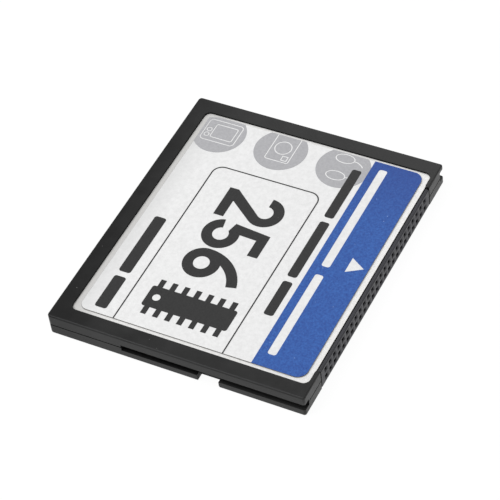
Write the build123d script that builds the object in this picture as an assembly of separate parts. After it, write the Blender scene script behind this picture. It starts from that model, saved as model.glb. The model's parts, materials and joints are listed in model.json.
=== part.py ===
from build123d import *
import os
from math import cos, radians, sin

os.makedirs("parts", exist_ok=True)

# A flat memory card, in millimetres. The origin is the centre of its bottom face.
# +X runs across the card, -Y points out of the socket end and +Z out of the labelled face.
card_width = 42.8
card_length = 36.4
card_height = 3.3

# Plan corners and long edges of the two plastic frames
front_corner_radius = 0.32
rear_corner_radius = 0.5
top_edge_radius = 0.25
bottom_edge_radius = 0.15
split_height = 1.65            # the two frames meet here
parting_gap_height = 0.16      # shadow line where they meet
parting_gap_depth = 0.4

# Guide grooves in the two sides, open at the socket end, one wider than the other
flange_thickness = 1.01
groove_depth = 1.14
groove_length = 25.78
left_groove_height = 0.99
right_groove_height = 1.60
notch_start = 12.0             # from the socket end
notch_length = 3.0
flange_end_radius = 0.4

# Windows in the frames, and the metal panels that fill them
side_rail = 2.2
rear_rail = 2.25
front_rail = 0.6
window_radius = 0.9
panel_thickness = 0.15
panel_ledge = 0.6              # plastic that each panel lies on
panel_fit = 0.02
panel_front_gap = 0.16         # from each panel's front edge to the socket's lip
panel_slot_depth = 0.2         # the gap runs this far into the socket
top_recess = 0.25
bottom_recess = 0.10

# Locating pegs of the bottom frame
peg_radius = 0.45
peg_height = 0.6
peg_fit = 0.05
peg_wall = 0.3                 # plastic between a peg and the groove
front_peg_place = 2.9          # from the socket end
rear_peg_place = 6.2           # from the rear end

# Socket between the frames' front posts, with two rows of as many contacts as it has room for
post_length = 4.61
contact_pitch = 1.27
row_spacing = 1.27
socket_end_wall = 1.1          # least from a contact's centre to the end
socket_depth = 5.0
socket_fit = 0.2               # gap to the frames
socket_bevel = 0.12
contact_hole = 0.65
lead_in_width = 0.92
lead_in_depth = 0.14
ear_length = 1.1
ear_width = 2.0
ear_height = 1.0
ear_place = 1.5                # from the socket's face
ear_fit = 0.05
post_tip_radius = 0.22
relief_reach = 3.1             # tapering gap between the posts of the two frames
relief_rise = 0.28
relief_drop = 0.12
relief_depth = 1.2

# Contacts
contact_width = 0.4
contact_sheet = 0.12
contact_arm = 3.8
contact_web_place = 0.8
tail_run = 0.15
tail_slope = 0.2
tail_foot = 1.1

# Circuit board
board_thickness = 0.4
board_fit = 0.1
board_support = 0.6
rib_width = 0.7
rib_end = 4.1                  # from each end of the board

# Chips: two flash chips under the board, one and the controller on it, and their bent leads
chip_clearance = 0.075         # to the metal panels
chip_front_margin = 6.58       # from the board's edges to the chips' leads
chip_rear_margin = 1.65
flash_side_margin = 4.0
flash_gap = 5.0
top_flash_margin = 1.5
top_chip_gap = 5.34            # from the top flash chip to the controller's leads
controller_side_margin = 2.44
controller_end_margin = 2.14
chip_lift = 0.05
lead_sheet = 0.13
lead_width = 0.22
lead_pitch = 0.5
lead_shoulder = 0.12
lead_slope = 0.14
flash_foot = 0.54
flash_lead_corner = 0.2        # least from a corner to the first lead
controller_foot = 0.6
controller_lead_corner = 0.9
dimple_radius = 0.45
dimple_depth = 0.08
dimple_inset = 1.3

# Small parts on the board
capacitor_size = (1.6, 0.8, 0.8)
capacitor_count = 8
capacitor_pitch = 2.6
resistor_size = (1.0, 0.5, 0.35)
resistor_count = 6
resistor_pitch = 1.7
resistor_pack_size = (3.2, 1.6, 0.5)
resistor_pack_count = 4
resistor_pack_pitch = 4.6
regulator_width = 2.9
regulator_length = 1.6
regulator_clearance = 0.175    # to the metal panel
regulator_lead_pitch = 0.95
regulator_foot = 0.35
regulator_leads_per_side = 3
regulator_inset = 4.4          # from the board's side
small_row_gap = 2.4            # from the board's front edge to the first row's centre
small_row_step = 1.9
small_parts_x = 1.2

# Label: margins to the edges of its window, corner radii, and the slant that was cut off
# its rear right corner
label_left_margin = 0.63
label_right_margin = 0.47
label_front_margin = 0.83
label_rear_margin = 0.85
label_front_radius = 1.4
label_rear_radius = 1.1
label_slant_width = 0.42
label_slant_length = 1.3
label_thickness = 0.15
ink = 0.03                     # thickness of each printed field

# Blue field with its arrow and two white bars
band_depth = 7.17
arrow_shift = 0.5              # from the label's centre line
arrow_base_inset = 2.74        # from the label's front edge
arrow_width = 2.6
arrow_height = 2.14
band_bar_inset = 1.75          # from the field's rear edge
band_bar_height = 1.2
band_bar_left = 2.07
band_bar_right = 1.17
band_bar_gap = 1.5
band_bar_gap_shift = -1.65     # from the label's centre line

# Outline around the number, open at the label's edge
outline_line = 0.17
outline_right_inset = 8.19
outline_rear_inset = 5.02
outline_front_inset = 3.92     # from the blue field
outline_radius = 1.5

# Bars in the places of two short lines of print
line_bar_radius = 0.35
rear_line_inset = 2.65
rear_line_height = 1.7
rear_line_start = 0.97         # from the label's left edge
rear_line_bars = (5.6, 10.3)
rear_line_gap = 0.85
front_line_inset = 1.5
front_line_height = 1.35
front_line_start = 2.42        # from the label's right edge
front_line_bars = (9.2, 10.2, 6.0)
front_line_gap = 0.88

# Number: heavy round figures, read with the socket end away from the reader. Each form is
# given as shares of the figure's height.
number_front_margin = 3.1      # from the outline's front and rear lines to the figures
number_rear_margin = 3.69
number_left_margin = 1.93      # from the symbol beside it
number_right_margin = 3.11     # from the outline's right side
figure_width_share = 0.57
figure_stroke_share = 0.162
figure_gap_share = 0.039
two_neck_angle = -38           # where the bow runs into the slanting neck
two_heel_share = 0.145
two_foot_share = 0.234
five_top_share = 0.084
five_stem_share = 0.145
five_stem_foot = (0.028, 0.418)
five_bow = (-170, 130)
five_join = (105, 135)         # where the stem meets the outside and inside of the bow
six_tail_angle = 104

# Plain memory-chip symbol beside the number
symbol_inset = 5.07            # from the label's left edge
symbol_width = 3.5
symbol_front_margin = 1.28     # to the outline's front and rear lines
symbol_rear_margin = 2.28
symbol_radius = 0.35
symbol_leg_length = 1.25
symbol_leg_width = 0.75
symbol_leg_pitch = 1.7         # least
symbol_leg_corner = 0.94
symbol_mark_radius = 0.55
symbol_mark_inset = 1.35

# Grey discs, each with a plain line drawing left open in it. Each drawing is given as
# shares of the disc's radius, counted from the disc's centre.
disc_gap = 1.85
disc_inset = 2.67              # from the label's right edge
disc_rear_inset = 2.7
disc_front_inset = 3.5
drawing_line = 0.17
bow_steps = 6                  # corners of the wedge that cuts a bow out of a ring
device_place = (0.05, -0.06)
device_size = (1.095, 1.405)
device_radius = 0.16
screen_place = (0.05, -0.157)
screen_size = (0.716, 0.919)
screen_radius = 0.095
button_radius = 0.114
button_places = ((-0.203, 0.446), (0.054, 0.446))
camera_left = -0.568
camera_rear = 0.438
camera_front = -0.535
camera_radius = 0.108
lens_place = (0.135, -0.041)
lens_radius = 0.338
finder_place = (-0.346, -0.311)
finder_size = 0.257
bud_places = ((-0.432, 0.116), (0.454, 0.116))
bud_size = (0.235, 0.386)
bud_lead_radius = 0.54
bud_lead_turn = (182, 232)     # left bud's lead; the right one mirrors it

# Worked-out planes and half widths
half_width = card_width / 2
half_length = card_length / 2
front_face = -half_length
groove_wall = half_width - groove_depth
window_half = half_width - side_rail
window_rear = half_length - rear_rail
window_front = front_face + front_rail
cavity_half = window_half - panel_ledge
cavity_rear = window_rear - panel_ledge
panel_top = card_height - top_recess
ceiling = panel_top - panel_thickness
floor = bottom_recess + panel_thickness
middle = (floor + ceiling) / 2
board_top = middle + board_thickness / 2
board_bottom = middle - board_thickness / 2
bay_half = half_width - post_length
socket_half = bay_half - socket_fit
contacts_per_row = int((socket_half - socket_end_wall) * 2 / contact_pitch) + 1
socket_back = front_face + socket_depth
bay_back = socket_back + socket_fit
upper_row = middle + row_spacing / 2
peg_x = groove_wall - peg_wall - peg_radius

# Board and chips
board_half = cavity_half - board_fit
board_front = bay_back + board_fit
board_rear = cavity_rear - board_fit
chip_height = ceiling - board_top - chip_lift - chip_clearance
chip_zone = board_rear - chip_rear_margin - board_front - chip_front_margin
chip_row_y = board_front + chip_front_margin + chip_zone / 2
flash_length = chip_zone - 2 * (lead_shoulder + lead_slope + flash_foot)
flash_width = board_half - flash_side_margin - flash_gap / 2
flash_leads_per_side = int((flash_width - 2 * flash_lead_corner) / lead_pitch) + 1
controller_reach = lead_shoulder + lead_slope + controller_foot
controller_length = chip_zone - 2 * controller_end_margin - 2 * controller_reach
controller_left = -board_half + top_flash_margin + flash_width + top_chip_gap + controller_reach
controller_right = board_half - controller_side_margin - controller_reach
controller_width = controller_right - controller_left
controller_x = (controller_left + controller_right) / 2
top_flash_x = -board_half + top_flash_margin + flash_width / 2
bottom_flash_x = (flash_gap + flash_width) / 2
regulator_height = ceiling - board_top - regulator_clearance

# Label and its print
label_left = -window_half + label_left_margin
label_right = window_half - label_right_margin
label_front = window_front + label_front_margin
label_rear = window_rear - label_rear_margin
label_middle = (label_left + label_right) / 2
label_top = panel_top + label_thickness
band_edge = label_front + band_depth
outline_right = label_right - outline_right_inset
outline_rear = label_rear - outline_rear_inset
outline_front = band_edge + outline_front_inset
symbol_x = label_left + symbol_inset
number_front = outline_front + number_front_margin
number_rear = outline_rear - number_rear_margin
number_left = symbol_x + symbol_width / 2 + symbol_leg_length + number_left_margin
number_right = outline_right - number_right_margin
number_width_share = 3 * figure_width_share + 2 * figure_gap_share
figure_height = min(number_rear - number_front, (number_right - number_left) / number_width_share)
figure_width = figure_width_share * figure_height
figure_stroke = figure_stroke_share * figure_height
figure_gap = figure_gap_share * figure_height
symbol_front = outline_front + symbol_front_margin
symbol_length = outline_rear - symbol_rear_margin - symbol_front
symbol_leg_span = symbol_length - 2 * symbol_leg_corner
symbol_leg_gaps = int(symbol_leg_span / symbol_leg_pitch)
first_disc = label_rear - disc_rear_inset
disc_pitch = (first_disc - band_edge - disc_front_inset) / 2
disc_radius = (disc_pitch - disc_gap) / 2
disc_x = label_right - disc_inset


def block(x0, x1, y0, y1, z0, z1):
    size = Box(x1 - x0, y1 - y0, z1 - z0)
    return Pos((x0 + x1) / 2, (y0 + y1) / 2, (z0 + z1) / 2) * size


def sheet(x0, x1, y0, y1, radius=0.0):
    width = x1 - x0
    length = y1 - y0
    flat = RectangleRounded(width, length, radius) if radius else Rectangle(width, length)
    return Pos((x0 + x1) / 2, (y0 + y1) / 2) * flat


def raise_flat(flat, z0, z1):
    return Pos(0, 0, z0) * extrude(flat, z1 - z0)


def both_sides(shape):
    return [shape, mirror(shape, Plane.YZ)]


def plan():
    # Outer shape of the card seen from above
    flat = Rectangle(card_width, card_length)
    flat = fillet(flat.vertices().group_by(Axis.Y)[0], front_corner_radius)
    return fillet(flat.vertices().group_by(Axis.Y)[-1], rear_corner_radius)


def rounded_card(z0, z1, edge_height, radius):
    # One frame's full outer block with one of its long edges rounded all round
    body = raise_flat(plan(), z0, z1)
    rim = body.edges().filter_by_position(Axis.Z, edge_height, edge_height)
    return fillet(rim, radius)


def window():
    return sheet(-window_half, window_half, window_front, window_rear, window_radius)


def bay(z0, z1):
    return block(-bay_half, bay_half, front_face - 1, bay_back, z0, z1)


def cavity(half, rear, z0, z1):
    return block(-half, half, bay_back, rear, z0, z1)


def groove_cuts():
    # Side grooves, the notches through their lower flanges, and each flange's rounded end
    cuts = []
    outside = half_width + 1
    groove_end = front_face + groove_length
    notch_front = front_face + notch_start
    notch_rear = notch_front + notch_length
    for side, height in ((-1, left_groove_height), (1, right_groove_height)):
        x0, x1 = sorted((side * groove_wall, side * outside))
        top = flange_thickness + height
        cuts.append(block(x0, x1, front_face - 1, groove_end, flange_thickness, top))
        cuts.append(block(x0, x1, notch_front, notch_rear, -1, top))
        corner = block(x0, x1, notch_front - flange_end_radius, notch_front, -1, flange_end_radius)
        centre = Pos((x0 + x1) / 2, notch_front - flange_end_radius, flange_end_radius)
        corner -= centre * Rot(0, 90, 0) * Cylinder(flange_end_radius, x1 - x0 + 1)
        cuts.append(corner)
    return cuts


def ear(grow=0.0):
    x0 = socket_half - 1
    x1 = socket_half + ear_length + grow
    y0 = front_face + ear_place - grow
    y1 = y0 + ear_width + 2 * grow
    z0 = middle - ear_height / 2 - grow
    return block(x0, x1, y0, y1, z0, z0 + ear_height + 2 * grow)


def post_relief():
    # Wedge-shaped gap between the two frames beside the socket
    far = bay_half + relief_reach
    points = [
        (bay_half - 0.1, split_height - relief_drop),
        (bay_half - 0.1, split_height + relief_rise),
        (far, split_height),
    ]
    wedge = make_face(Plane.XZ * Polyline(*points, close=True))
    return Pos(0, front_face + relief_depth, 0) * extrude(wedge, relief_depth + 1)


def pegs(radius, height):
    found = []
    for y in (front_face + front_peg_place, half_length - rear_peg_place):
        for x in (-peg_x, peg_x):
            found.append(Pos(x, y, split_height + height / 2) * Cylinder(radius, height))
    return found


def top_frame():
    lower = plan() - window() - sheet(-bay_half, bay_half, front_face - 1, window_front + 1)
    tips = lower.vertices().filter_by_position(Axis.Y, window_front - 0.01, window_front + 0.01)
    tips = [v for v in tips if abs(abs(v.X) - bay_half) < 0.01]
    upper_plan = fillet(tips, post_tip_radius)
    body = rounded_card(split_height, card_height, card_height, top_edge_radius)
    rim = body & raise_flat(upper_plan, ceiling, card_height)
    base = body & raise_flat(plan(), split_height, ceiling)
    base -= cavity(cavity_half, cavity_rear, split_height, ceiling)
    base -= bay(split_height, ceiling)
    frame = base + rim
    for cut in groove_cuts() + both_sides(ear(ear_fit)) + both_sides(post_relief()):
        frame -= cut
    for hole in pegs(peg_radius + peg_fit, peg_height + peg_fit):
        frame -= hole
    rib_x = cavity_half - rib_width
    rib_front = board_front + rib_end
    rib = block(rib_x, cavity_half, rib_front, board_rear - rib_end, board_top, ceiling)
    for one in both_sides(rib):
        frame += one
    return frame


def bottom_frame():
    frame = rounded_card(0, split_height, 0, bottom_edge_radius)
    frame -= raise_flat(window(), -1, floor)
    shelf_half = cavity_half - board_support
    shelf_rear = cavity_rear - board_support
    frame -= cavity(shelf_half, shelf_rear, -1, board_bottom)
    frame -= cavity(cavity_half, cavity_rear, board_bottom, split_height + 1)
    frame -= bay(-1, split_height + 1)
    ring = plan() - Rectangle(card_width - 2 * parting_gap_depth, card_length - 2 * parting_gap_depth)
    frame -= raise_flat(ring, split_height - parting_gap_height, split_height)
    for cut in groove_cuts() + both_sides(ear(ear_fit)) + both_sides(post_relief()):
        frame -= cut
    for peg in pegs(peg_radius, peg_height):
        frame += peg
    return frame


def panel(z0):
    flat = offset(window(), -panel_fit)
    return raise_flat(flat, z0, z0 + panel_thickness)


def hole_places():
    first = -(contacts_per_row - 1) * contact_pitch / 2
    columns = [first + i * contact_pitch for i in range(contacts_per_row)]
    return [(x, z) for z in (upper_row, upper_row - row_spacing) for x in columns]


def connector_housing():
    lip = window_front + panel_fit - panel_front_gap
    body = block(-socket_half, socket_half, front_face, socket_back, floor, ceiling)
    body += block(-socket_half, socket_half, front_face, lip, bottom_recess, panel_top)
    long_edges = body.edges().filter_by(Axis.X).group_by(Axis.Y)[0]
    body = chamfer(long_edges, socket_bevel)
    for one in both_sides(ear()):
        body += one
    slot_end = lip + panel_front_gap
    body -= block(-card_width, card_width, lip, slot_end, ceiling - panel_slot_depth, card_height)
    body -= block(-card_width, card_width, lip, slot_end, 0, floor + panel_slot_depth)
    hole = Rectangle(contact_hole, contact_hole)
    mouth = Rectangle(lead_in_width, lead_in_width)
    face = Plane((0, front_face, 0), x_dir=(1, 0, 0), z_dir=(0, 1, 0))
    funnel = loft([face * mouth, face.offset(lead_in_depth) * hole])
    shaft = extrude(face * hole, socket_depth)
    cuts = []
    for x, z in hole_places():
        cuts.append(Pos(x, 0, z) * funnel)
        cuts.append(Pos(x, 0, z) * shaft)
    return body - cuts


def contact(x):
    # A forked contact: two arms grip a pin, the lower one runs out to the board
    half = contact_hole / 2
    low = upper_row - half
    y1 = socket_back
    y0 = y1 - contact_arm
    web = y1 - contact_web_place
    x0 = x - contact_width / 2
    x1 = x + contact_width / 2
    body = block(x0, x1, y0, y1, upper_row + half - contact_sheet, upper_row + half)
    body += block(x0, x1, web - contact_sheet, web, low, upper_row + half)
    foot = y1 + tail_run + tail_slope
    bend = contact_sheet / 4
    points = [
        (y0, low),
        (y1 + tail_run, low),
        (foot, board_top),
        (foot + tail_foot, board_top),
        (foot + tail_foot, board_top + contact_sheet),
        (foot + bend, board_top + contact_sheet),
        (y1 + tail_run + bend, low + contact_sheet),
        (y0, low + contact_sheet),
    ]
    side = make_face(Plane.YZ * Polyline(*points, close=True))
    return body + Pos(x0, 0, 0) * extrude(side, contact_width)


def contact_row():
    return [contact(x) for x, z in hole_places() if z == upper_row]


def underside(shapes):
    return [mirror(shape, Plane.XY.offset(middle)) for shape in shapes]


def circuit_board():
    return block(-board_half, board_half, board_front, board_rear, board_bottom, board_top)


def chip_body(width, length):
    # Moulded body standing just off the board, with a round mark at its first lead
    body = Pos(0, 0, chip_lift + chip_height / 2) * Box(width, length, chip_height)
    mark = Pos(-width / 2 + dimple_inset, length / 2 - dimple_inset, chip_lift + chip_height)
    return body - mark * Cylinder(dimple_radius, 2 * dimple_depth)


def gull_lead(foot):
    # Bent lead of a chip: out of the body's side, down, and along the board
    high = chip_lift + chip_height / 2 + lead_sheet / 2
    bend = lead_sheet / 3
    down = lead_shoulder + lead_slope
    points = [
        (0, high),
        (lead_shoulder + bend, high),
        (down + bend, lead_sheet),
        (down + foot, lead_sheet),
        (down + foot, 0),
        (down, 0),
        (lead_shoulder, high - lead_sheet),
        (0, high - lead_sheet),
    ]
    side = make_face(Plane.XZ * Polyline(*points, close=True))
    return Pos(0, lead_width / 2, 0) * extrude(side, lead_width)


def lead_row(count, reach, foot, turn, pitch=lead_pitch):
    one = gull_lead(foot)
    start = -(count - 1) * pitch / 2
    return [Rot(0, 0, turn) * Pos(reach, start + i * pitch, 0) * one for i in range(count)]


def on_board(shapes, x, y):
    return [Pos(x, y, board_top) * shape for shape in shapes]


def flash_leads():
    leads = []
    for turn in (90, 270):
        leads += lead_row(flash_leads_per_side, flash_length / 2, flash_foot, turn)
    return leads


def controller_leads():
    leads = []
    sides = (controller_width, controller_length)
    for turn in (0, 90, 180, 270):
        across, along = sides if turn % 180 == 0 else sides[::-1]
        count = int((along - 2 * controller_lead_corner) / lead_pitch) + 1
        leads += lead_row(count, across / 2, controller_foot, turn)
    return leads


def small_row(size, count, pitch, row, x):
    width, length, height = size
    y = board_front + small_row_gap + row * small_row_step
    start = x - (count - 1) * pitch / 2
    one = Pos(0, y, board_top + height / 2) * Box(width, length, height)
    return [Pos(start + i * pitch, 0, 0) * one for i in range(count)]


def regulator():
    y = board_front + small_row_gap + small_row_step / 2
    place = Pos(regulator_inset - board_half, y, board_top)
    height = regulator_height - chip_lift
    body = place * Pos(0, 0, chip_lift + height / 2) * Box(regulator_width, regulator_length, height)
    leads = []
    reach = regulator_length / 2
    for turn in (90, 270):
        row = lead_row(regulator_leads_per_side, reach, regulator_foot, turn, regulator_lead_pitch)
        leads += [place * one for one in row]
    return body, leads


def label_flat():
    flat = sheet(label_left, label_right, label_front, label_rear)
    flat = fillet(flat.vertices().group_by(Axis.Y)[0], label_front_radius)
    flat = fillet(flat.vertices().group_by(Axis.Y)[-1].sort_by(Axis.X)[0], label_rear_radius)
    slant_start = (label_right - label_slant_width, label_rear)
    slant_end = (label_right, label_rear - label_slant_length)
    return flat - make_face(Polyline(slant_start, (label_right, label_rear), slant_end, close=True))


def printed(flat):
    return raise_flat(flat, label_top, label_top + ink)


def bars(start, lengths, gap, y, height):
    # A line of rounded bars; a negative start and gap run to the left
    row = []
    for length in lengths:
        end = start + length if gap > 0 else start - length
        low, high = sorted((start, end))
        row.append(sheet(low, high, y - height / 2, y + height / 2, line_bar_radius))
        start = end + gap
    return row


def band_area():
    # The part of the label from the blue field's edge to the socket end
    return label_flat() & sheet(-card_width, card_width, -card_length, band_edge)


def blue_band():
    flat = band_area()
    x = label_middle + arrow_shift
    base = label_front + arrow_base_inset
    half = arrow_width / 2
    corners = [(x - half, base), (x + half, base), (x, base - arrow_height)]
    flat -= make_face(Polyline(*corners, close=True))
    start = label_left + band_bar_left
    end = label_right - band_bar_right
    gap_start = label_middle + band_bar_gap_shift - band_bar_gap / 2
    lengths = (gap_start - start, end - gap_start - band_bar_gap)
    for bar in bars(start, lengths, band_bar_gap, band_edge - band_bar_inset, band_bar_height):
        flat -= bar
    return flat


def capacity_outline():
    outside = sheet(-card_width, outline_right, outline_front, outline_rear, outline_radius)
    return (outside - offset(outside, -outline_line)) & label_flat()


def print_bars():
    start = label_left + rear_line_start
    y = label_rear - rear_line_inset
    rows = bars(start, rear_line_bars, rear_line_gap, y, rear_line_height)
    start = label_right - front_line_start
    y = band_edge + front_line_inset
    return rows + bars(start, front_line_bars, -front_line_gap, y, front_line_height)


def bow(x, y, outer, start, end, stroke=figure_stroke):
    # Part of a ring between two angles, counted anticlockwise from the right
    far = 2 * outer
    points = [(x, y)]
    for i in range(bow_steps + 1):
        angle = radians(start + (end - start) * i / bow_steps)
        points.append((x + far * cos(angle), y + far * sin(angle)))
    whole = Pos(x, y) * (Circle(outer) - Circle(outer - stroke))
    if end - start >= 360:
        return whole
    return whole & make_face(Polyline(*points, close=True))


def at_angle(x, y, radius, angle):
    return (x + radius * cos(radians(angle)), y + radius * sin(radians(angle)))


def figure_two():
    outer = figure_width / 2
    y = figure_height - outer
    shape = bow(outer, y, outer, two_neck_angle, 180)
    neck_out = at_angle(outer, y, outer, two_neck_angle)
    neck_in = at_angle(outer, y, outer - figure_stroke, two_neck_angle)
    foot = [(0, 0), (figure_width, 0), (figure_width, figure_stroke)]
    foot_start = two_foot_share * figure_height
    foot += [(foot_start, figure_stroke), neck_out, neck_in, (0, two_heel_share * figure_height)]
    return shape + make_face(Polyline(*foot, close=True))


def figure_five():
    outer = figure_width / 2
    shape = bow(outer, outer, outer, *five_bow)
    start = five_top_share * figure_height
    bar_end = figure_width - figure_gap
    shape += sheet(start, bar_end, figure_height - figure_stroke, figure_height)
    outside, inside = five_join
    foot_x, foot_y = five_stem_foot
    stem = [
        (start, figure_height),
        (start + five_stem_share * figure_height, figure_height),
        at_angle(outer, outer, outer, outside),
        at_angle(outer, outer, outer - figure_stroke, inside),
        (foot_x * figure_height, foot_y * figure_height),
    ]
    return shape + make_face(Polyline(*stem, close=True))


def figure_six():
    outer = figure_width / 2
    sweep = figure_height - outer
    shape = bow(outer, outer, outer, 0, 360)
    return shape + bow(sweep, outer, sweep, six_tail_angle, 180)


def number():
    step = figure_width + figure_gap
    figures = [figure_two(), figure_five(), figure_six()]
    place = Pos((number_left + number_right) / 2, (number_front + number_rear) / 2)
    placed = []
    for i, one in enumerate(figures):
        centred = Pos((i - 1) * step - figure_width / 2, -figure_height / 2) * one
        placed.append(place * Rot(0, 0, 180) * centred)
    return placed


def chip_symbol():
    place = Pos(symbol_x, symbol_front + symbol_length / 2)
    flat = place * RectangleRounded(symbol_width, symbol_length, symbol_radius)
    leg = Rectangle(symbol_width + 2 * symbol_leg_length, symbol_leg_width)
    for i in range(symbol_leg_gaps + 1):
        flat += place * Pos(0, symbol_leg_span * (i / symbol_leg_gaps - 0.5)) * leg
    return flat - place * Pos(0, symbol_length / 2 - symbol_mark_inset) * Circle(symbol_mark_radius)


def line_around(flat):
    return flat - offset(flat, -drawing_line)


def ring(radius):
    return Circle(radius) - Circle(radius - drawing_line)


def on_disc(number, place):
    # A point given in shares of the disc's radius from its centre
    x, y = place
    return Pos(disc_x + x * disc_radius, first_disc - number * disc_pitch + y * disc_radius)


def rounded_drawing(number, place, size, radius):
    width, length = size
    corner = radius * disc_radius
    flat = RectangleRounded(width * disc_radius, length * disc_radius, corner)
    return line_around(on_disc(number, place) * flat)


def device_drawing(number):
    lines = [rounded_drawing(number, device_place, device_size, device_radius)]
    lines.append(rounded_drawing(number, screen_place, screen_size, screen_radius))
    for place in button_places:
        lines.append(on_disc(number, place) * ring(button_radius * disc_radius))
    return lines


def camera_drawing(number):
    width = 2 * (1 - camera_left)
    place = (camera_left + width / 2, (camera_rear + camera_front) / 2)
    lines = [rounded_drawing(number, place, (width, camera_rear - camera_front), camera_radius)]
    lines.append(on_disc(number, lens_place) * ring(lens_radius * disc_radius))
    side = finder_size * disc_radius
    lines.append(line_around(on_disc(number, finder_place) * Rectangle(side, side)))
    return lines


def earbud_drawing(number):
    lines = []
    wide = bud_size[0] * disc_radius
    tall = bud_size[1] * disc_radius
    sweep = bud_lead_radius * disc_radius
    start, end = bud_lead_turn
    for place, side in zip(bud_places, (1, -1)):
        centre = on_disc(number, place)
        lines.append(centre * (Ellipse(wide, tall) - Ellipse(wide - drawing_line, tall - drawing_line)))
        turns = (start, end) if side == 1 else (540 - end, 540 - start)
        lead = bow(side * sweep, drawing_line / 2 - tall, sweep, *turns, drawing_line)
        lines.append(centre * lead)
    return lines


def grey_discs():
    discs = []
    for number, drawing in enumerate((device_drawing, camera_drawing, earbud_drawing)):
        flat = (on_disc(number, (0, 0)) * Circle(disc_radius)) & label_flat()
        flat -= sheet(-card_width, card_width, -card_length, band_edge)
        for line in drawing(number) + print_bars():
            flat -= line
        discs.append(flat)
    return discs


def save(name, shapes):
    solids = []
    for shape in shapes if isinstance(shapes, (list, tuple)) else [shapes]:
        solids += shape.solids()
    whole = solids[0] if len(solids) == 1 else Compound(children=solids)
    whole.label = name
    export_step(whole, f"parts/{name}.step")
    print(name, len(solids))


def save_print(name, flats):
    save(name, [printed(flat) for flat in flats])


save("top_frame", top_frame())
save("bottom_frame", bottom_frame())
save("top_panel", panel(ceiling))
save("bottom_panel", panel(bottom_recess))
save("connector_housing", connector_housing())
save("upper_contacts", contact_row())
save("lower_contacts", underside(contact_row()))
save("circuit_board", circuit_board())

flash = chip_body(flash_width, flash_length)
save("flash_chip_top", on_board([flash], top_flash_x, chip_row_y))
save("flash_chip_top_leads", on_board(flash_leads(), top_flash_x, chip_row_y))
for name, side in (("left", -1), ("right", 1)):
    place = side * bottom_flash_x
    save(f"flash_chip_bottom_{name}", underside(on_board([flash], place, chip_row_y)))
    save(f"flash_chip_bottom_{name}_leads", underside(on_board(flash_leads(), place, chip_row_y)))
controller = chip_body(controller_width, controller_length)
save("controller_chip", on_board([controller], controller_x, chip_row_y))
save("controller_leads", on_board(controller_leads(), controller_x, chip_row_y))

save("capacitors", small_row(capacitor_size, capacitor_count, capacitor_pitch, 0, small_parts_x))
packs = small_row(resistor_pack_size, resistor_pack_count, resistor_pack_pitch, 1, small_parts_x)
save("resistor_packs", packs)
resistors = small_row(resistor_size, resistor_count, resistor_pitch, 0, small_parts_x)
save("resistors", underside(resistors))
regulator_body, regulator_leads = regulator()
save("voltage_regulator", regulator_body)
save("voltage_regulator_leads", regulator_leads)

save("front_label", raise_flat(label_flat(), panel_top, label_top))
save_print("blue_band", [blue_band()])
save_print("capacity_outline", [capacity_outline()])
save_print("capacity_number", number())
save_print("chip_symbol", [chip_symbol()])
save_print("print_bars", print_bars())
save_print("grey_discs", grey_discs())
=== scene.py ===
import bmesh
import bpy
import json
from math import radians
from mathutils import Matrix, Vector


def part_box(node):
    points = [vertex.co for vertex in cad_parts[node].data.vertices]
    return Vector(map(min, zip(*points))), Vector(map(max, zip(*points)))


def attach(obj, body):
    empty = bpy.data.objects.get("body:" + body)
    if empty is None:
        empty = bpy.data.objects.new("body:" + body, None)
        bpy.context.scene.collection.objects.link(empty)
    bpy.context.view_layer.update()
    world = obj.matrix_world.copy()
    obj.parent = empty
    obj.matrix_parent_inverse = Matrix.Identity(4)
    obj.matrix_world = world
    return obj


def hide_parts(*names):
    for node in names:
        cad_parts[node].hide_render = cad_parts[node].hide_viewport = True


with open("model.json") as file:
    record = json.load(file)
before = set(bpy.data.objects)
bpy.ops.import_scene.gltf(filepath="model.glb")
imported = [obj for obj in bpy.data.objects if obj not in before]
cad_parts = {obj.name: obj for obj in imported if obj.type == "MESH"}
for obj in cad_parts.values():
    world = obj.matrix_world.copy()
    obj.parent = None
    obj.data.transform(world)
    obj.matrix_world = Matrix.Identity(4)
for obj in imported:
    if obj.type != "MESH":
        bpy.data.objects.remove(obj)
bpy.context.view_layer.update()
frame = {"nodes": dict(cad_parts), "record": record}
nodes = frame["nodes"]
mm = 0.001
print("frame loaded:", len(nodes), "nodes")


# View: camera solved on the card's edges, grooves and contact holes
cameraView = {
    "place": (-166.5, -105.51, 213.47),    # mm
    "azimuth": 57.63,                      # degrees, turned from +Y towards +X
    "elevation": 47.147,
    "roll": -8.047,
    "lens": 160.03,
    "nearest": 1,                          # mm, what it shows
    "farthest": 20000,
}
studio = {
    "roomColour": "#ffffff", "roomStrength": 0.5,
    "floorSize": 3000, "floorDrop": 0.02,    # mm, just clear of the card's underside
    "floorColour": "#404040", "floorRough": 0.9,
    "floorLight": "#ffffff", "floorGlow": 0.95,
}
softboxes = {    # place and size in mm, power in W
    "rearSoftbox": {"place": (-150, 260, 420), "size": 360, "power": 1.45},
    "highSoftbox": {"place": (0, 0, 400), "size": 240, "power": 0.18},
    "sideSoftbox": {"place": (170, 20, 170), "size": 90, "power": 0.036},
}


def linear(hexColour):
    # sRGB hex to the linear colour that a shader reads
    parts = [int(hexColour[i:i + 2], 16) / 255 for i in (1, 3, 5)]
    return tuple(p / 12.92 if p <= 0.04045 else ((p + 0.055) / 1.055) ** 2.4 for p in parts) + (1.0,)


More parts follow.
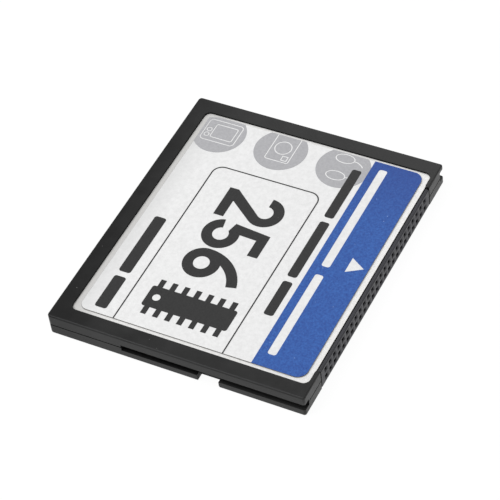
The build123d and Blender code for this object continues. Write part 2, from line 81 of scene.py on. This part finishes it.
def placeCamera():
    view = cameraView
    camera = bpy.data.objects.new("camera", bpy.data.cameras.new("camera"))
    camera.data.lens = view["lens"]
    camera.data.clip_start = view["nearest"] * mm
    camera.data.clip_end = view["farthest"] * mm
    turn = Matrix.Rotation(-radians(view["azimuth"]), 4, "Z")
    tilt = Matrix.Rotation(radians(90 - view["elevation"]), 4, "X")
    roll = Matrix.Rotation(radians(view["roll"]), 4, "Z")
    camera.matrix_world = Matrix.Translation(Vector(view["place"]) * mm) @ turn @ tilt @ roll
    bpy.context.scene.collection.objects.link(camera)
    bpy.context.scene.camera = camera


def placeLights():
    scene = bpy.context.scene
    scene.view_settings.view_transform = "Standard"
    room = bpy.data.worlds.new("studioRoom")
    scene.world = room
    room.use_nodes = True
    background = room.node_tree.nodes["Background"]
    background.inputs["Color"].default_value = linear(studio["roomColour"])
    background.inputs["Strength"].default_value = studio["roomStrength"]
    for name, look in softboxes.items():
        light = bpy.data.lights.new(name, "AREA")
        light.size = look["size"] * mm
        light.energy = look["power"]
        box = bpy.data.objects.new(name, light)
        box.location = Vector(look["place"]) * mm
        box.rotation_euler = (-box.location).to_track_quat("-Z", "Y").to_euler()
        scene.collection.objects.link(box)


def newMaterial(name):
    # A material with only its surface shader and output
    material = bpy.data.materials.new(name)
    material.use_nodes = True
    return material, material.node_tree.nodes["Principled BSDF"]


def meshPiece(bm, name):
    mesh = bpy.data.meshes.new(name)
    bm.to_mesh(mesh)
    bm.free()
    piece = bpy.data.objects.new(name, mesh)
    bpy.context.scene.collection.objects.link(piece)
    return piece


def layFloor():
    # Matt white acrylic lit from below, so that the ground is plain white with hardly a shadow
    bm = bmesh.new()
    bmesh.ops.create_grid(bm, x_segments=1, y_segments=1, size=studio["floorSize"] * mm / 2)
    bmesh.ops.translate(bm, verts=bm.verts, vec=(0, 0, -studio["floorDrop"] * mm))
    floor = meshPiece(bm, "floor")
    material, surface = newMaterial("white acrylic")
    surface.inputs["Base Color"].default_value = linear(studio["floorColour"])
    surface.inputs["Roughness"].default_value = studio["floorRough"]
    surface.inputs["Emission Color"].default_value = linear(studio["floorLight"])
    surface.inputs["Emission Strength"].default_value = studio["floorGlow"]
    floor.data.materials.append(material)


placeCamera()
placeLights()
layFloor()
print("camera, lights and floor placed")


def addNode(material, kind, settings=None, links=None):
    # A setting goes to the node's property of that name, or else to the input
    node = material.node_tree.nodes.new("ShaderNode" + kind)
    for key, value in (settings or {}).items():
        if isinstance(key, str) and hasattr(node, key):
            setattr(node, key, value)
        else:
            node.inputs[key].default_value = value
    for key, source in (links or {}).items():
        material.node_tree.links.new(source, node.inputs[key])
    return node


def patternSpace(material, stretch=(1, 1, 1)):
    # Object coordinates, stretched where a pattern has a direction
    place = addNode(material, "TexCoord").outputs["Object"]
    return addNode(material, "Mapping", {"Scale": stretch}, {"Vector": place}).outputs["Vector"]


def speckle(material, sizeMm, detail=3.0, roughness=0.55, space=None):
    # Noise whose blotches are about sizeMm across
    vector = space or patternSpace(material)
    settings = {"Scale": 1 / (sizeMm * mm), "Detail": detail, "Roughness": roughness}
    return addNode(material, "TexNoise", settings, {"Vector": vector}).outputs["Fac"]


def spread(material, source, low, high, fromLow=0.3, fromHigh=0.7):
    # A pattern stretched over a range of values
    settings = {"From Min": fromLow, "From Max": fromHigh, "To Min": low, "To Max": high}
    return addNode(material, "MapRange", settings, {"Value": source}).outputs["Result"]


def twoColours(material, source, dark, light, low=0.35, high=0.65):
    ramp = addNode(material, "ValToRGB", {}, {"Fac": source})
    first, last = ramp.color_ramp.elements
    first.position = low
    first.color = linear(dark)
    last.position = high
    last.color = linear(light)
    return ramp.outputs["Color"]


def risingAlong(material, look):
    # From 0 to its share across the card, along one direction: painted sheen and painted shade
    place = addNode(material, "TexCoord").outputs["Object"]
    along = addNode(material, "VectorMath", {"operation": "DOT_PRODUCT", 1: look["towards"]}, {0: place})
    return spread(material, along.outputs["Value"], 0, look["share"], look["from"] * mm, look["to"] * mm)


mixSockets = {"factor": 0, "first": 6, "second": 7, "result": 2}    # those of a Mix node for colours


def blended(material, factor, colour, other):
    # A colour that turns into another as the factor rises
    socket = mixSockets
    settings = {"data_type": "RGBA", socket["second"]: linear(other)}
    mix = addNode(material, "Mix", settings, {socket["factor"]: factor, socket["first"]: colour})
    return mix.outputs[socket["result"]]


def dusted(material, colour, dust):
    # Round specks of pale dust: one in the middle of a cell, with most cells left clean
    vector = patternSpace(material)
    cells = addNode(material, "TexVoronoi", {"Scale": 1 / (dust["spacing"] * mm)}, {"Vector": vector})
    near = {"operation": "LESS_THAN", 1: dust["radius"] / dust["spacing"]}
    speck = addNode(material, "Math", near, {0: cells.outputs["Distance"]})
    few = {"operation": "LESS_THAN", 1: dust["share"]}
    kept = addNode(material, "Math", few, {0: cells.outputs["Color"]})
    both = addNode(material, "Math", {"operation": "MULTIPLY"}, {0: speck.outputs[0], 1: kept.outputs[0]})
    return blended(material, both.outputs[0], colour, dust["colour"])


def bumpFrom(material, source, heightMm, under=None):
    links = {"Height": source}
    if under:
        links["Normal"] = under
    return addNode(material, "Bump", {"Distance": heightMm * mm}, links).outputs["Normal"]


def connect(material, surface, **sources):
    names = {"colour": "Base Color", "roughness": "Roughness", "normal": "Normal"}
    for key, source in sources.items():
        material.node_tree.links.new(source, surface.inputs[names[key]])


# Sizes, heights, spacings and places in the finishes below are in mm. Spark grain, paper fibres
# and brush lines are finer than a pixel, so they are drawn several times coarser than they are.

# Frame: glass-filled polycarbonate, moulded with a fine spark-eroded grain
framePlastic = {
    "clean": "#171717", "paleAndSheenTone": "#343434", "ior": 1.5, "shine": 0.23,
    # Ramps that paint a sheen lighter towards the right front and a shade darker at the rear
    "paintedSheenAndShade": [
        {"towards": (0.91, -0.41, 0), "from": -54, "to": 29, "share": 1.0},
        {"towards": (0, 1, 0), "from": 10.5, "to": 18, "share": -0.45},
    ],
    "grain": 0.14, "grainHeight": 0.004, "cloud": 2.6, "cloudShare": 0.12,
    "smooth": 0.34, "rough": 0.46,
    "dust": {"colour": "#787878", "spacing": 1.2, "radius": 0.06, "share": 0.36},
}


def frameMaterial():
    # Near-black satin that takes its grey from the white room, with an uneven gloss; its colour has a
    # random grey cloud, pale dust, a painted sheen lighter towards the right front and a painted shade
    # darker at the rear
    look = framePlastic
    material, surface = newMaterial("moulded polycarbonate")
    cloud = speckle(material, look["cloud"], detail=4)
    grain = speckle(material, look["grain"], detail=2)
    grey = spread(material, cloud, -look["cloudShare"], look["cloudShare"])
    # The random cloud, plus the painted sheen and painted shade ramps
    for part in look["paintedSheenAndShade"]:
        more = risingAlong(material, part)
        grey = addNode(material, "Math", {"operation": "ADD"}, {0: grey, 1: more}).outputs[0]
    cloudAndSheen = twoColours(material, grey, look["clean"], look["paleAndSheenTone"], low=0, high=1)
    surface.inputs["IOR"].default_value = look["ior"]
    surface.inputs["Specular IOR Level"].default_value = look["shine"]
    connect(
        material, surface,
        colour=dusted(material, cloudAndSheen, look["dust"]),
        roughness=spread(material, cloud, look["smooth"], look["rough"]),
        normal=bumpFrom(material, grain, look["grainHeight"]),
    )
    return material


# Socket: liquid-crystal polymer, matt and slightly blue, with flow marks
socketPlastic = {
    "dark": "#29292d", "light": "#35353b", "ior": 1.5,
    "grain": 0.2, "grainHeight": 0.004, "flow": (0.25, 1, 1), "flowSize": 1.2,
    "smooth": 0.45, "rough": 0.6,
}


def socketMaterial():
    # Bluish grey and drier than the frame beside it
    look = socketPlastic
    material, surface = newMaterial("moulded liquid-crystal polymer")
    flow = speckle(material, look["flowSize"], space=patternSpace(material, look["flow"]))
    grain = speckle(material, look["grain"], detail=2)
    surface.inputs["IOR"].default_value = look["ior"]
    connect(
        material, surface,
        colour=twoColours(material, flow, look["dark"], look["light"]),
        roughness=spread(material, flow, look["smooth"], look["rough"]),
        normal=bumpFrom(material, grain, look["grainHeight"]),
    )
    return material


# Inner walls: the same mouldings, painted darker as shade in recesses, gaps and holes
recessShadePlastic = {
    "dark": "#030303", "light": "#0a0a0b", "shine": 0.3, "cloud": 0.8,
    "smooth": 0.6, "rough": 0.75,
}


def recessShadeMaterial():
    # Dry black with low shine, darker than the outer faces: painted shade
    look = recessShadePlastic
    material, surface = newMaterial("moulded plastic in painted shade")
    cloud = speckle(material, look["cloud"])
    surface.inputs["Specular IOR Level"].default_value = look["shine"]
    connect(
        material, surface,
        colour=twoColours(material, cloud, look["dark"], look["light"]),
        roughness=spread(material, cloud, look["smooth"], look["rough"]),
    )
    return material


# Panels: stainless steel, brushed across the card. Its rim looks as pale and even as paper,
# so it is hardly metallic.
panelSteel = {
    "dark": "#eae9e7", "light": "#f4f3f2", "metal": 0.12,
    # Painted shade darkens the rim towards the rear
    "shadedTone": "#c3c2c0", "paintedShade": {"towards": (0, 1, 0), "from": 11, "to": 17, "share": 1.0},
    "brush": (0.06, 1, 1), "brushSize": 0.2, "brushHeight": 0.0002, "cloud": 0.5,
    "smooth": 0.32, "rough": 0.4,
}


def panelMaterial():
    # Pale metal with fine lines along X and a faint warm mottle, darker at the rear from painted shade
    look = panelSteel
    material, surface = newMaterial("brushed stainless steel")
    brush = speckle(material, look["brushSize"], space=patternSpace(material, look["brush"]))
    cloud = speckle(material, look["cloud"], detail=4)
    mottled = twoColours(material, cloud, look["dark"], look["light"])
    surface.inputs["Metallic"].default_value = look["metal"]
    connect(
        material, surface,
        colour=blended(material, risingAlong(material, look["paintedShade"]), mottled, look["shadedTone"]),
        roughness=spread(material, brush, look["smooth"], look["rough"]),
        normal=bumpFrom(material, brush, look["brushHeight"]),
    )
    return material


# Label: coated paper with a faint fibre mottle
labelPaper = {
    "dark": "#e4e4e4", "light": "#f0f0f0", "cloud": 0.6,
    # Painted shade greys the paper towards the rear
    "shadedTone": "#cfcfcf", "paintedShade": {"towards": (0, 1, 0), "from": 12, "to": 15, "share": 0.5},
    "fibre": 0.3, "fibreHeight": 0.004, "wave": 5.0, "waveHeight": 0.05,
    "smooth": 0.42, "rough": 0.6,
}


def paperMaterial():
    # White paper, cloudy at the scale of its pulp, greyed at the rear by painted shade,
    # and slightly uneven where it was pressed on
    look = labelPaper
    material, surface = newMaterial("coated label paper")
    cloud = speckle(material, look["cloud"], detail=8, roughness=0.72)
    fibre = speckle(material, look["fibre"], detail=4)
    wave = speckle(material, look["wave"], detail=1)
    pressed = bumpFrom(material, wave, look["waveHeight"])
    pulp = twoColours(material, cloud, look["dark"], look["light"])
    connect(
        material, surface,
        colour=blended(material, risingAlong(material, look["paintedShade"]), pulp, look["shadedTone"]),
        roughness=spread(material, fibre, look["smooth"], look["rough"]),
        normal=bumpFrom(material, fibre, look["fibreHeight"], under=pressed),
    )
    return material


# Cut edge of the label: a rim of old adhesive, greyed further by painted shade
glueAndShadeEdge = {"dark": "#737270", "light": "#918f8c", "fibre": 0.12, "rough": 0.85}


def glueAndShadeMaterial():
    # Dull grey, partly adhesive and partly painted shade, which draws a thin line round the label
    look = glueAndShadeEdge
    material, surface = newMaterial("label edge, adhesive and painted shade")
    fibre = speckle(material, look["fibre"], detail=2)
    surface.inputs["Roughness"].default_value = look["rough"]
    connect(material, surface, colour=twoColours(material, fibre, look["dark"], look["light"]))
    return material


# Inks: thin printed coats over the paper's mottle
blueInk = {
    "name": "blue printing ink", "dark": "#174595", "light": "#2e64b4",
    # Painted shade darkens the blue towards +X
    "shadedTone": "#193686", "paintedShade": {"towards": (1, 0, 0), "from": 8, "to": 21, "share": 0.6},
    "dust": {"colour": "#93acd8", "spacing": 0.8, "radius": 0.055, "share": 0.36},
}
darkInk = {
    "name": "dark printing ink", "dark": "#1b1b1b", "light": "#262626", "paintedShade": None,
    "dust": {"colour": "#707070", "spacing": 1.1, "radius": 0.05, "share": 0.3},
}
greyInk = {
    "name": "grey printing ink", "dark": "#a8a8ab", "light": "#b5b5b8", "paintedShade": None,
    "dust": {"colour": "#c8c8c8", "spacing": 1.1, "radius": 0.05, "share": 0.3},
}
inkCoat = {"mottle": 0.3, "fibre": 0.2, "fibreHeight": 0.003, "smooth": 0.4, "rough": 0.55}


def inkMaterial(ink):
    # Flat colour with the small cloudiness of ink on paper and pale dust; the blue is darkened towards +X
    # by painted shade
    look = inkCoat
    material, surface = newMaterial(ink["name"])
    mottle = speckle(material, look["mottle"], detail=6, roughness=0.7)
    fibre = speckle(material, look["fibre"])
    coat = twoColours(material, mottle, ink["dark"], ink["light"])
    # Painted shade, for an ink that has it
    if ink["paintedShade"]:
        coat = blended(material, risingAlong(material, ink["paintedShade"]), coat, ink["shadedTone"])
    connect(
        material, surface,
        colour=dusted(material, coat, ink["dust"]),
        roughness=spread(material, fibre, look["smooth"], look["rough"]),
        normal=bumpFrom(material, fibre, look["fibreHeight"]),
    )
    return material


# Inside: plated metal, laminate, resin and ceramics
insideFinishes = {
    "contact_gold": {
        "name": "gold plating", "dark": "#c9a04a", "light": "#e6c26c",
        "metal": 1.0, "size": 0.4, "rough": 0.25,
    },
    "lead_tin": {
        "name": "tin plating", "dark": "#bcbdbf", "light": "#d9dadb",
        "metal": 1.0, "size": 0.2, "rough": 0.35,
    },
    "board_laminate": {
        "name": "green solder mask", "dark": "#0d4a22", "light": "#17693a",
        "metal": 0.0, "size": 0.8, "rough": 0.3,
    },
    "chip_resin": {
        "name": "moulded epoxy", "dark": "#141415", "light": "#1f1f21",
        "metal": 0.0, "size": 0.15, "rough": 0.6,
    },
    "capacitor_ceramic": {
        "name": "fired ceramic", "dark": "#8d6a45", "light": "#a98a60",
        "metal": 0.0, "size": 0.3, "rough": 0.5,
    },
    "resistor_ceramic": {
        "name": "glazed black ceramic", "dark": "#101010", "light": "#1c1c1e",
        "metal": 0.0, "size": 0.3, "rough": 0.3,
    },
}
insideGrain = {"rougher": 0.15, "height": 0.004}


def insideMaterial(finish):
    # A small mottle in colour and gloss, which keeps the parts from looking like flat paint
    material, surface = newMaterial(finish["name"])
    mottle = speckle(material, finish["size"])
    surface.inputs["Metallic"].default_value = finish["metal"]
    connect(
        material, surface,
        colour=twoColours(material, mottle, finish["dark"], finish["light"]),
        roughness=spread(material, mottle, finish["rough"], finish["rough"] + insideGrain["rougher"]),
        normal=bumpFrom(material, mottle, insideGrain["height"]),
    )
    return material


finishes = {
    "frame_plastic": frameMaterial(),
    "socket_plastic": socketMaterial(),
    "panel_steel": panelMaterial(),
    "label_paper": paperMaterial(),
    "blue_ink": inkMaterial(blueInk),
    "dark_ink": inkMaterial(darkInk),
    "grey_ink": inkMaterial(greyInk),
}
for slotName, finish in insideFinishes.items():
    finishes[slotName] = insideMaterial(finish)
slotOf = {part["node"]: part["material_slot"] for part in frame["record"]["subparts"]}
for nodeName, node in nodes.items():
    node.data.materials.clear()
    node.data.materials.append(finishes[slotOf[nodeName]])
recessShadeFinish = recessShadeMaterial()
glueAndShadeFinish = glueAndShadeMaterial()
print("materials made for", len(finishes), "slots, inner walls and the label's edge")


# Moulded and stamped pieces: the node's own form, merged, with its sharp edges rounded a little.
# Faces further in than these depths in mm take painted shade, a darker material: walls, level ledges, and
# faces behind the front.
# The socket's sides lie within the frame, so its walls are measured from its front alone.
innerFrame = {"wall": 0.9, "ledge": 0.3, "behind": 0.08, "frontOnly": False}
innerSocket = {"wall": 0.16, "ledge": 0.16, "behind": 0.16, "frontOnly": True}
roundedPieces = {    # round in mm
    "top_frame": {"piece": "upperFrame", "round": 0.06, "steps": 2, "inner": innerFrame},
    "bottom_frame": {"piece": "lowerFrame", "round": 0.06, "steps": 2, "inner": innerFrame},
    "top_panel": {"piece": "upperPanel", "round": 0.04, "steps": 2, "inner": None},
    "bottom_panel": {"piece": "lowerPanel", "round": 0.04, "steps": 2, "inner": None},
    "connector_housing": {"piece": "socketBlock", "round": 0.03, "steps": 1, "inner": innerSocket},
}
mergeGap = 0.0005     # mm
flatAngle = 0.6       # degrees: faces that lie in one plane
sharpAngle = 32       # degrees: an edge that a mould or die leaves as a corner
upright = 0.5         # a face whose normal rises less than this is a wall
squareOn = 0.9        # a face whose normal has this much of a direction faces that way
evenWeight = 100      # the large faces alone settle the shading beside a rounded edge


def mergedCopy(nodeName):
    # The node's loose triangles joined, and its flat faces made whole
    bm = bmesh.new()
    bm.from_mesh(nodes[nodeName].data)
    bmesh.ops.remove_doubles(bm, verts=bm.verts, dist=mergeGap * mm)
    bmesh.ops.dissolve_limit(bm, angle_limit=radians(flatAngle), verts=bm.verts, edges=bm.edges)
    return bm


def standFor(piece, nodeName):
    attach(piece, "root")
    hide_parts(nodeName)


def isInner(face, low, high, inner):
    centre = face.calc_center_median()
    fromFront = (centre.y - low[1]) / mm
    fromOthers = min(centre.x - low[0], high[0] - centre.x, high[1] - centre.y) / mm
    across = fromFront if inner["frontOnly"] else min(fromFront, fromOthers)
    deep = min(centre.z - low[2], high[2] - centre.z) / mm
    alongSide = abs(face.normal.z) < upright and abs(face.normal.y) < squareOn
    wall = alongSide and across > inner["wall"]
    ledge = min(across, deep) > inner["ledge"]
    behind = face.normal.y < -squareOn and fromFront > inner["behind"]
    return wall or ledge or behind


def roundedCopy(nodeName, look):
    bm = mergedCopy(nodeName)
    corners = [e for e in bm.edges if e.is_manifold and e.calc_face_angle() > radians(sharpAngle)]
    bmesh.ops.bevel(
        bm, geom=corners, offset=look["round"] * mm, offset_type="OFFSET", affect="EDGES",
        segments=look["steps"], profile=0.5, material=-1, clamp_overlap=True,
    )
    bmesh.ops.recalc_face_normals(bm, faces=bm.faces)
    # Inner faces take the darker material, which paints shade into walls, ledges, gaps and holes
    if look["inner"]:
        low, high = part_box(nodeName)
        for face in bm.faces:
            face.material_index = 1 if isInner(face, low, high, look["inner"]) else 0
    piece = meshPiece(bm, look["piece"])
    piece.data.shade_smooth()
    piece.data.set_sharp_from_angle(angle=radians(sharpAngle))
    piece.data.materials.append(finishes[slotOf[nodeName]])
    if look["inner"]:
        piece.data.materials.append(recessShadeFinish)
    evened = piece.modifiers.new("evenShading", "WEIGHTED_NORMAL")
    evened.keep_sharp = True
    evened.weight = evenWeight
    standFor(piece, nodeName)
    return piece


for nodeName, look in roundedPieces.items():
    made = roundedCopy(nodeName, look)
    print("rounded:", made.name, len(made.data.polygons), "faces")


# Label sheet: the label's own form, with grey adhesive and painted shade on its cut sides
labelSheet = {
    "piece": "labelSheet", "node": "front_label",
    "cut": 0.03,       # mm of upper edge bevelled, where the grey edge with its painted shade shows from above
    "rimAngle": 60,    # degrees
}


def cutSheet(look):
    bm = mergedCopy(look["node"])
    rims = [e for e in bm.edges if e.is_manifold and e.calc_face_angle() > radians(look["rimAngle"])]
    rims = [e for e in rims if max(f.normal.z for f in e.link_faces) > squareOn]
    bmesh.ops.bevel(
        bm, geom=rims, offset=look["cut"] * mm, offset_type="OFFSET", affect="EDGES",
        segments=1, profile=0.5, material=-1, clamp_overlap=True,
    )
    bmesh.ops.recalc_face_normals(bm, faces=bm.faces)
    for face in bm.faces:
        # Side and bevel faces take the grey edge material: adhesive with painted shade
        face.material_index = 1 if abs(face.normal.z) < squareOn else 0
    piece = meshPiece(bm, look["piece"])
    piece.data.materials.append(finishes[slotOf[look["node"]]])
    piece.data.materials.append(glueAndShadeFinish)
    standFor(piece, look["node"])
    return piece


made = cutSheet(labelSheet)
print("label cut:", len(made.data.polygons), "faces")
